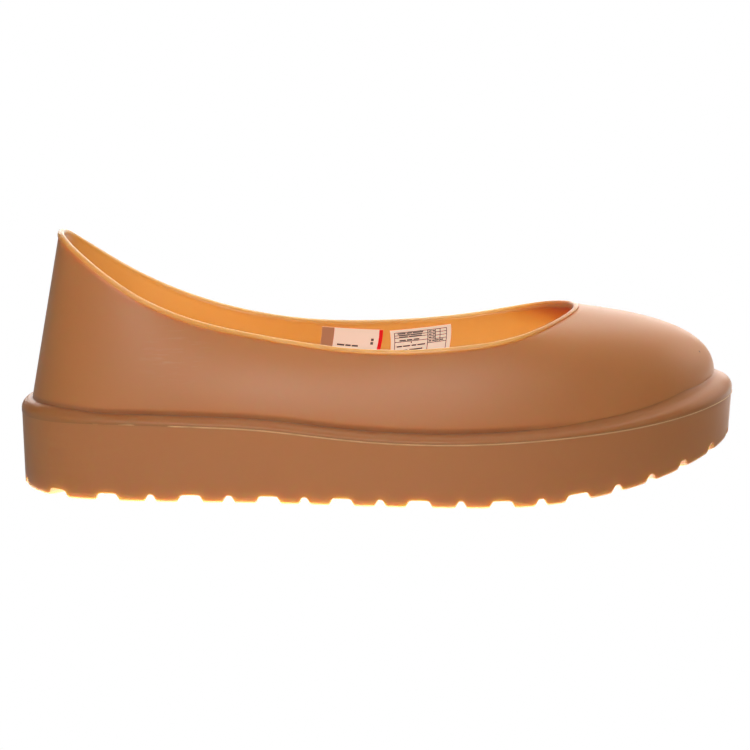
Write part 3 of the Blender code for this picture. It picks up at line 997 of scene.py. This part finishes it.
@dataclass
class Outsole(Moulding):
    """The cup sole with its lugs, bars and the trimmed flash on its parting line."""

    side_taper: float = 1.2
    side_shares: tuple[float, ...] = (0.95, 0.5)  # rings down the side, as shares of its height
    floor_thickness: float = 6.0
    cup_draft: float = 0.8
    cup_fillet: float = 7.0
    fillet_rings: int = 6
    lug_depth: float = 2.9
    lug_reach: float = 16.5
    flank_run: float = 1.3
    channel: float = 4.0
    corner: float = 0.42  # rounding of the tread's edges
    column_step: float = 2.6
    flash_proud: float = 0.4
    flash_height: float = 0.4
    flash_waves: tuple[tuple[float, float], ...] = ((3.1, 0.0), (7.3, 1.0), (1.7, 2.0))  # length, phase
    torn_left: tuple[float, float] = (0.6, 0.7)  # share of torn flash that is left, and how far it varies
    whole_left: tuple[float, float] = (0.9, 0.08)  # the same for whole flash
    flash_even: Span = Span(60.0, 80.0)  # it is torn towards the heel, and whole towards the toe
    flash_torn: Span = Span(42.0, 48.0)  # and it was trimmed off round the heel
    flash_at_heel: float = 0.3
    lug_glow: float = 0.55  # how far light from below comes through the lugs, against a thin wall's

    @property
    def hold(self) -> float:
        """How far along a flank its first cut is: a third of the rounding, to keep that to the ends."""
        return self.corner / 3

    def side_columns(self, start: float, end: float) -> list[LugColumn]:
        """Columns along one side, from the heel to the toe.

        Args:
            start: Turn at the back of the heel.
            end: Turn at the tip of the toe.

        Returns:
            The columns in order, close together at the edges of lugs.
        """
        scale = (end - start) / sum(row.length + row.gap for row in LUGS)
        flank = ((-self.corner, 0.0), (self.hold, self.hold / self.flank_run))
        flank += tuple((self.flank_run - run, 1 - fall) for run, fall in reversed(flank))
        columns = []
        at = 0.0
        for row, after in zip(LUGS, LUGS[1:] + LUGS[-1:]):
            bar, next_bar = float(row.bar > 0), float(after.bar > 0)
            joined = float(row.bar > 0 and row.bar == after.bar)
            begin = at + (self.corner if columns else 0.0)
            stop = at + row.length - (self.corner if row.gap else 0.0)
            places = np.linspace(begin, stop, math.ceil((stop - begin) / self.column_step) + 1)
            columns += [(place, 1.0, bar) for place in (places[:-1] if row.gap else places)]
            at += row.length
            if row.gap:
                columns += [(at + run, 1 - fall, bar + (joined - bar) * fall) for run, fall in flank]
                columns.append((at + row.gap / 2, 0.0, joined))
                at += row.gap
                for run, fall in reversed(flank[1:]):
                    columns.append((at - run, 1 - fall, next_bar + (joined - next_bar) * fall))
        return [LugColumn(start + place * scale, lug, bar) for place, lug, bar in columns]

    def flash(self, turns: Array) -> Array:
        """How much flash is left on the parting line: 1 where it was not trimmed.

        Args:
            turns: Places round the sole.

        Returns:
            Shares from 0 to 1.
        """
        station = self.last.station(turns)
        waves = sum(np.sin(turns / length + phase) for length, phase in self.flash_waves)
        levels = self.torn_left, self.whole_left
        torn, whole = [np.clip(mean + swing * waves, 0.0, 1.0) for mean, swing in levels]
        left = torn + (whole - torn) * self.flash_even.ease(station)
        return left * (self.flash_at_heel + (1 - self.flash_at_heel) * self.flash_torn.ease(station))

    def build(self) -> Thing:
        """Makes the sole as a cage of rings, from the floor inside it to its tread, and smooths it.

        Returns:
            The outsole.
        """
        last = self.last
        outer = self.side_columns(0.0, last.toe)
        inner = self.side_columns(last.round, last.toe)
        turn, lug, bar = np.array(outer + inner[-2:0:-1]).T
        station = last.station(turn)
        edge_top = last.edge_height(station)
        tread = last.tread_height(station)
        rings = []

        def add(inset: Array | float, height: Array) -> None:
            """Adds a ring at given heights."""
            rings.append(raised(last.edge(turn, inset), height))

        def add_on_tread(inset: Array | float, level: Array | float, rise: float = 0.0) -> None:
            """Adds a ring on the tread: level 1 is the sole of a lug, 0 the ground between lugs."""
            ground = last.tread_height(last.edge(turn, inset)[:, 0])
            add(inset, ground + self.lug_depth * (1 - level) + rise)

        def add_on_side(height: Array) -> None:
            """Adds a ring on the tapered side."""
            add(self.side_taper * (edge_top - height) / (edge_top - tread), height)

        # Inside of the cup, from its floor up to the sole's edge
        cup = last.welt_reach(station) + last.seat_gap + last.wall
        for angle in np.linspace(0, math.pi / 2, self.fillet_rings):
            back = self.cup_draft + self.cup_fillet * (1 - math.sin(angle))
            add_on_tread(cup + back, 0.0, self.floor_thickness + self.cup_fillet * (1 - math.cos(angle)))
        add(cup + self.cup_draft / 2, edge_top - self.cup_fillet / 2)
        add(cup, edge_top - self.corner)
        add(cup - self.corner, edge_top)

        # Edge with its flash, and the side down to the lugs
        first_flash = len(rings)
        left = self.flash(turn)
        for point in FLASH_PROFILE:
            inset = point.inset - point.proud * self.flash_proud * left
            add(inset, edge_top + point.rise + point.tall * self.flash_height)
        foot = tread + self.lug_depth * (1 - lug)
        for share in self.side_shares:
            add_on_side(foot + (edge_top - foot) * share)
        first_glow = len(rings)
        add_on_side(tread + self.lug_depth + 2 * self.corner)
        add_on_side(foot + self.corner)

        # Tread: the edge lugs, the groove and the bars
        taper = self.side_taper * (edge_top - foot) / (edge_top - tread)
        hold, near = self.hold, self.hold / self.flank_run
        lug_end = self.lug_reach + self.flank_run
        bars = lug_end + self.channel
        bar_end = bars + self.flank_run
        add_on_tread(taper + self.corner, lug)
        add_on_tread(self.lug_reach - self.corner, lug)
        add_on_tread(self.lug_reach + hold, lug * (1 - near))
        add_on_tread(lug_end - hold, lug * near)
        add_on_tread(lug_end + self.corner, 0.0)
        add_on_tread(bars - self.corner, 0.0)
        add_on_tread(bars + hold, bar * near)
        add_on_tread(bar_end - hold, bar * (1 - near))
        add_on_tread(bar_end + self.corner, bar)

        piece = skin("outsole_smooth", last.place(np.array(rings)), filled=True)
        wear_and_highlight, glow = np.zeros((2, len(rings), len(turn)))
        flash_shares = [point.proud for point in FLASH_PROFILE]
        # the flash's pale colour: trimmed rubber, and partly a painted highlight
        wear_and_highlight[first_flash : first_flash + len(FLASH_PROFILE)] = np.outer(flash_shares, left)
        glow[first_glow:] = self.lug_glow
        paint(piece, WEAR_AND_HIGHLIGHT, wear_and_highlight.ravel())
        paint(piece, INSIDE, glow.ravel())
        smooth = piece.modifiers.new("smooth", "SUBSURF")
        smooth.levels = smooth.render_levels = 1
        return self.dress(piece)


class Ink(Enum):
    """What is printed on a strip of a label."""

    PAPER = PrintedPaper("label_paper_cream", "#fbe0ca")
    BROWN = PrintedPaper("label_ink_brown", "#b57e5c")
    RED = PrintedPaper("label_ink_red", "#e8141c")
    BLACK = PrintedPaper("label_ink_black", "#3a2f2c")
    GREY = PrintedPaper("label_ink_grey", "#54463f")


class Mark(NamedTuple):
    """Printed oblong on a label, in millimetres from its top corner at the heel side."""

    left: float
    top: float
    right: float
    bottom: float
    ink: Ink

    def covers(self, x: float, y: float) -> bool:
        """Whether it is printed over a place of the label."""
        return self.left < x < self.right and self.top < y < self.bottom


class Corner(NamedTuple):
    """Corner of a label on the last: its turn, and the share up the rib."""

    turn: float
    share: float


@dataclass
class PaperLabel:
    """Paper label, stuck to the inner side's wall, inside the shoe."""

    name: str
    last: Last
    width: float
    height: float
    corners: tuple[Corner, Corner, Corner, Corner]  # at the top from heel to toe, then below
    marks: tuple[Mark, ...]
    thickness: float = 0.12
    glue: float = 0.05
    longest: float = 1.6  # side of a facet
    straighten: float = 0.0  # how far the middle of its edge at the toe is pulled back along the wall

    def cuts(self, size: float, edges: list[float]) -> Array:
        """Cuts one side of the label at the edges of its marks, and finely enough to follow the wall.

        Args:
            size: Length of the side.
            edges: Places of the marks' edges.

        Returns:
            Places of the cuts.
        """
        stops = sorted({0.0, size, *edges})
        cuts = [0.0]
        for stop in stops[1:]:
            pieces = math.ceil((stop - cuts[-1]) / self.longest)
            cuts += np.linspace(cuts[-1], stop, pieces + 1)[1:].tolist()
        return np.array(cuts)

    def ink_at(self, x: float, y: float) -> Ink:
        """Finds the ink of the last mark printed over a place."""
        inks = [mark.ink for mark in self.marks if mark.covers(x, y)]
        return inks[-1] if inks else Ink.PAPER

    def build(self, materials: dict[Ink, bpy.types.Material]) -> Thing:
        """Makes the label as a thin closed sheet along the wall.

        Args:
            materials: Material of each ink.

        Returns:
            The label.
        """
        across = self.cuts(self.width, [x for mark in self.marks for x in (mark.left, mark.right)])
        down = self.cuts(self.height, [y for mark in self.marks for y in (mark.top, mark.bottom)])
        u, v = np.meshgrid(across / self.width, down / self.height)
        weights = np.stack([(1 - v) * (1 - u), (1 - v) * u, v * (1 - u), v * u], axis=-1)
        turn, share = np.moveaxis(weights @ np.array(self.corners), -1, 0)
        arch = 4 * v * (1 - v)  # 0 at the top and at the bottom, 1 half-way down
        turn = turn + self.straighten * arch * u
        back = self.last.wall + self.glue
        sheets = [self.last.on_wall(turn, share, depth) for depth in (back + self.thickness, back)]
        points = self.last.place(np.array(sheets)).reshape(-1, 3)
        front = np.arange(u.size).reshape(u.shape)
        inks = list(materials)
        paper = inks.index(Ink.PAPER)
        faces, slots = [], []
        for i, y in enumerate((down[1:] + down[:-1]) / 2):
            for j, x in enumerate((across[1:] + across[:-1]) / 2):
                square = [front[i, j], front[i, j + 1], front[i + 1, j + 1], front[i + 1, j]]
                faces += [square, [corner + front.size for corner in reversed(square)]]
                slots += [inks.index(self.ink_at(x, y)), paper]
        rim = np.concatenate([front[0, :-1], front[:-1, -1], front[-1, :0:-1], front[:0:-1, 0]])
        for a, b in zip(rim, np.roll(rim, -1)):
            faces.append([a, a + front.size, b + front.size, b])
            slots.append(paper)
        mesh = bpy.data.meshes.new(self.name)
        mesh.from_pydata(points.tolist(), [], [[int(corner) for corner in face] for face in faces])
        for material in materials.values():
            mesh.materials.append(material)
        mesh.polygons.foreach_set("material_index", slots)
        mesh.shade_smooth()
        mesh.set_sharp_from_angle(angle=SHARP_ANGLE)
        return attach(put(self.name, mesh), BODY)


class PrintLine(NamedTuple):
    """Line of bars in the wide column of a printed table: its row, and where its bars begin and end."""

    row: float
    bars: tuple[Span, ...]


PRINT_LINES = (
    PrintLine(0.36, (Span(0.09, 0.33), Span(0.36, 0.52), Span(0.54, 0.86))),
    PrintLine(0.92, (Span(0.13, 0.45), Span(0.48, 0.82))),
    PrintLine(1.48, (Span(0.13, 0.39), Span(0.42, 0.81))),
    PrintLine(2.45, (Span(0.14, 0.33), Span(0.36, 0.53), Span(0.56, 0.74))),
    PrintLine(3.25, (Span(0.48, 0.52),)),
    PrintLine(4.15, (Span(0.06, 0.22), Span(0.25, 0.47), Span(0.51, 0.66), Span(0.69, 0.93))),
    PrintLine(5.30, (Span(0.10, 0.40), Span(0.45, 0.86))),
)


def table_marks(left: float, right: float, top: float, rows: int, pitch: float) -> tuple[Mark, ...]:
    """Rules and plain bars of a printed table.

    Args:
        left: Left edge of the table.
        right: Right edge of the table.
        top: Upper edge of the table.
        rows: How many rows it has.
        pitch: Height of a row.

    Returns:
        The marks.
    """
    rule, bar = 0.3, 0.62  # heights
    size_rows = 4  # rows of the narrow columns
    column_shares = (0.0, 0.63, 0.78, 0.87, 1.0)
    ruled_rows = (0.0, 0.9, 1.6, 2.85, float(rows))  # of the wide column
    narrow_bars = (Span(0.12, 0.50), Span(0.60, 0.92))
    last_bars = (Span(0.05, 0.32), Span(0.38, 0.72))
    columns = [left + (right - left) * share for share in column_shares]
    marks = []
    for x, deep in zip(columns, (rows, rows, size_rows, size_rows, rows)):
        marks.append(Mark(x - rule / 2, top, x + rule / 2, top + deep * pitch, Ink.BLACK))

    def add(begin: float, stop: float, row: float, tall: float, ink: Ink) -> None:
        """Adds an oblong whose middle is at a row."""
        middle = top + row * pitch
        marks.append(Mark(begin, middle - tall / 2, stop, middle + tall / 2, ink))

    for row in ruled_rows:
        add(columns[0], columns[1], row, rule, Ink.BLACK)
    for row in (*range(size_rows + 1), rows):
        add(columns[1], columns[-1], row, rule, Ink.BLACK)
    lines = [(columns[0], columns[1], line.row, line.bars) for line in PRINT_LINES]
    lines += [(columns[1], columns[2], row + 0.5, narrow_bars) for row in range(size_rows)]
    lines.append((columns[2], columns[-1], size_rows - 0.5, last_bars))
    for begin, stop, row, bars in lines:
        for span in bars:
            add(begin + span.begin * (stop - begin), begin + span.end * (stop - begin), row, bar, Ink.GREY)
    return tuple(marks)


def paper_labels(last: Last) -> tuple[PaperLabel, PaperLabel]:
    """The two labels inside the shoe.

    Args:
        last: The last that they lie on.

    Returns:
        The one with coloured strips, and the one with a printed table.
    """
    striped = PaperLabel(
        "label_striped",
        last,
        width=25.8,
        height=14.0,
        corners=(Corner(525.8, 0.927), Corner(496.8, 0.864), Corner(530.1, 0.453), Corner(505.5, 0.386)),
        marks=(
            Mark(0.0, 0.0, 5.2, 14.0, Ink.BROWN),
            Mark(24.2, 0.0, 25.8, 14.0, Ink.RED),
            Mark(7.0, 7.8, 10.2, 8.6, Ink.GREY),
            Mark(10.6, 7.8, 12.9, 8.6, Ink.GREY),
            Mark(13.3, 7.8, 16.0, 8.6, Ink.GREY),
            Mark(21.0, 4.4, 22.2, 5.6, Ink.GREY),
            Mark(21.0, 6.0, 22.2, 7.2, Ink.GREY),
        ),
    )
    ruled = PaperLabel(
        "label_ruled",
        last,
        width=25.4,
        height=14.0,
        corners=(Corner(493.8, 0.844), Corner(460.8, 0.907), Corner(500.3, 0.371), Corner(473.3, 0.453)),
        marks=table_marks(left=1.6, right=23.4, top=1.4, rows=7, pitch=1.55),
        straighten=0.55,
    )
    return striped, ruled


class SoftBox(NamedTuple):
    """Studio light that points at the shoe, in degrees and metres.

    The azimuth turns from the camera's side towards the toe. The brightness is that of its face; a grid in
    front of it keeps its light within the spread. The aim is how far along the shoe it points.
    """

    name: str
    azimuth: float
    elevation: float
    distance: float
    width: float
    height: float
    brightness: float
    spread: float = 180.0
    aim: float = 0.0


@dataclass
class Studio:
    """Light table, soft boxes and the camera at the photograph's view."""

    last: Last
    camera_aim: tuple[float, float, float] = (-0.0008, 0.0, 0.0450)
    camera_distance: float = 3.0
    camera_elevation: float = 11.0
    focal_pixels: float = 7344.8
    sensor_width: float = 36.0  # millimetres
    table_side: float = 8.0
    table_drop: float = 0.0001
    table_brightness: float = 0.25
    back_corner: tuple[float, float] = (0.06, 0.1)  # where the lit part of the table begins, behind the toe
    back_brightness: float = 2.2
    lamp_brightness: float = 4.0  # of the table under the shoe, which stands over its lamp
    lamp_inset: float = 0.3  # millimetres in from the sole's edge
    lamp_points: int = 160
    air_brightness: float = 0.015
    boxes: tuple[SoftBox, ...] = (
        SoftBox("front_low", -10.0, 14.0, 1.4, 0.3, 0.25, 0.47, 26.0, -0.03),
        SoftBox("front_high", -10.0, 32.0, 1.4, 0.3, 0.25, 0.73, 26.0, -0.03),
        SoftBox("top_back", 180.0, 70.0, 1.6, 0.8, 0.7, 2.9),
        SoftBox("back_high", 180.0, 45.0, 1.8, 1.2, 0.6, 2.65),
        SoftBox("back", 180.0, 15.0, 1.8, 1.6, 0.7, 4.0),
        SoftBox("back_toe", 130.0, 20.0, 1.8, 0.9, 0.8, 1.4),
        SoftBox("side_toe", 100.0, 20.0, 1.8, 0.8, 0.8, 1.15),
        SoftBox("back_toe_high", 150.0, 40.0, 1.8, 1.0, 0.8, 2.2),
        SoftBox("side_toe_high", 110.0, 35.0, 1.8, 0.9, 0.8, 2.15),
    )

    def point(
        self, thing: Thing, azimuth: float, elevation: float, distance: float, along: float = 0.0
    ) -> None:
        """Stands a camera or a light off the shoe and points it there.

        Args:
            thing: The camera or light.
            azimuth: Degrees from the photograph's side towards the toe.
            elevation: Degrees over the horizon.
            distance: How far off, in metres.
            along: How far along the shoe from the camera's aim it points.
        """
        turn, rise = math.radians(azimuth), math.radians(elevation)
        out = Vector((math.sin(turn) * math.cos(rise), -math.cos(turn) * math.cos(rise), math.sin(rise)))
        thing.location = Vector(self.camera_aim) + Vector((along, 0.0, 0.0)) + out * distance
        thing.rotation_euler = (-out).to_track_quat("-Z", "Y").to_euler()

    def camera(self) -> None:
        """Sets the camera at the photograph's angle, far off with a long lens."""
        lens = bpy.data.cameras.new("camera")
        lens.sensor_width = self.sensor_width
        lens.lens = self.focal_pixels * self.sensor_width / PHOTO_SIDE
        eye = put("camera", lens)
        self.point(eye, 0.0, self.camera_elevation, self.camera_distance)
        bpy.context.scene.camera = eye

    @staticmethod
    def white_to_camera(tree: Tree, kind: str, brightness: float) -> Socket:
        """Adds a shader that is plain white to the camera and has a brightness of its own to the shoe.

        Args:
            tree: Node tree that it goes into.
            kind: Blender's name for the type of its two glowing nodes.
            brightness: How bright it is to the shoe.

        Returns:
            The shader.
        """
        ray = add_node(tree, "ShaderNodeLightPath", out="Is Camera Ray")
        white = {"Color": linear("#ffffff")}
        lit, seen = [add_node(tree, kind, white | {"Strength": power}) for power in (brightness, 1.0)]
        return add_node(tree, "ShaderNodeMixShader", {0: ray, 1: lit, 2: seen})

    def glowing(self, name: str, corners: Array, brightness: float) -> None:
        """Lays a flat plate of opal acrylic with lamps under it: even light with no grain to see.

        Args:
            name: Name of the plate.
            corners: Its outline in metres.
            brightness: How bright it is to the shoe.
        """
        mesh = bpy.data.meshes.new(name)
        mesh.from_pydata(np.asarray(corners).tolist(), [], [range(len(corners))])
        material, tree = new_material(f"opal_acrylic_{name}")
        surface = self.white_to_camera(tree, "ShaderNodeEmission", brightness)
        add_node(tree, "ShaderNodeOutputMaterial", {"Surface": surface})
        mesh.materials.append(material)
        put(name, mesh)

    def table(self) -> None:
        """Lays a white light table under the shoe, brighter where the shoe stands and behind the toe."""
        half = self.table_side / 2
        square = ((-half, -half), (half, -half), (half, half), (-half, half))
        sheet = [(*corner, -self.table_drop) for corner in square]
        self.glowing("light_table", sheet, self.table_brightness)
        left, near = self.back_corner
        behind = ((left, near), (half, near), (half, half), (left, half))
        plate = [(*corner, -self.table_drop / 2) for corner in behind]
        self.glowing("light_table_behind", plate, self.back_brightness)
        plan = self.last.edge(self.last.turns(self.lamp_points), self.lamp_inset)
        level = np.full(self.lamp_points, -self.table_drop / 2 / MM)
        self.glowing("light_under_shoe", self.last.place(raised(plan, level)), self.lamp_brightness)

    def air(self) -> None:
        """Makes the white surround, brighter to the camera than to the shoe."""
        world = bpy.data.worlds.new("surround")
        world.use_nodes = True
        world.node_tree.nodes.clear()
        surface = self.white_to_camera(world.node_tree, "ShaderNodeBackground", self.air_brightness)
        add_node(world.node_tree, "ShaderNodeOutputWorld", {"Surface": surface})
        bpy.context.scene.world = world

    def lights(self) -> None:
        """Hangs the soft boxes."""
        for box in self.boxes:
            lamp = bpy.data.lights.new(f"soft_box_{box.name}", "AREA")
            lamp.shape = "RECTANGLE"
            lamp.size, lamp.size_y = box.width, box.height
            lamp.energy = box.brightness * math.pi * box.width * box.height
            lamp.spread = math.radians(box.spread)
            stand = put(lamp.name, lamp)
            self.point(stand, box.azimuth, box.elevation, box.distance, box.aim)
            stand.visible_camera = False

    def build(self) -> None:
        """Sets up the studio."""
        bpy.context.scene.view_settings.view_transform = "Standard"
        self.camera()
        self.table()
        self.air()
        self.lights()


def main() -> None:
    """Builds the pieces in order and reports each."""
    logging.basicConfig(level=logging.INFO, format="%(name)s: %(message)s")
    last = Last()
    pieces = [
        Upper(last, UPPER_RUBBER, "upper", "upper_rubber").build(),
        Welt(last, WELT_RUBBER, "welt", "welt_rubber").build(),
        Outsole(last, SOLE_RUBBER, "outsole", "sole_rubber").build(),
    ]
    inks = {ink: ink.value.material() for ink in Ink}
    pieces += [label.build(inks) for label in paper_labels(last)]
    for piece in pieces:
        LOG.info("%s: %d faces", piece.name, len(piece.data.polygons))
    Studio(last).build()


if __name__ == "__main__":
    main()
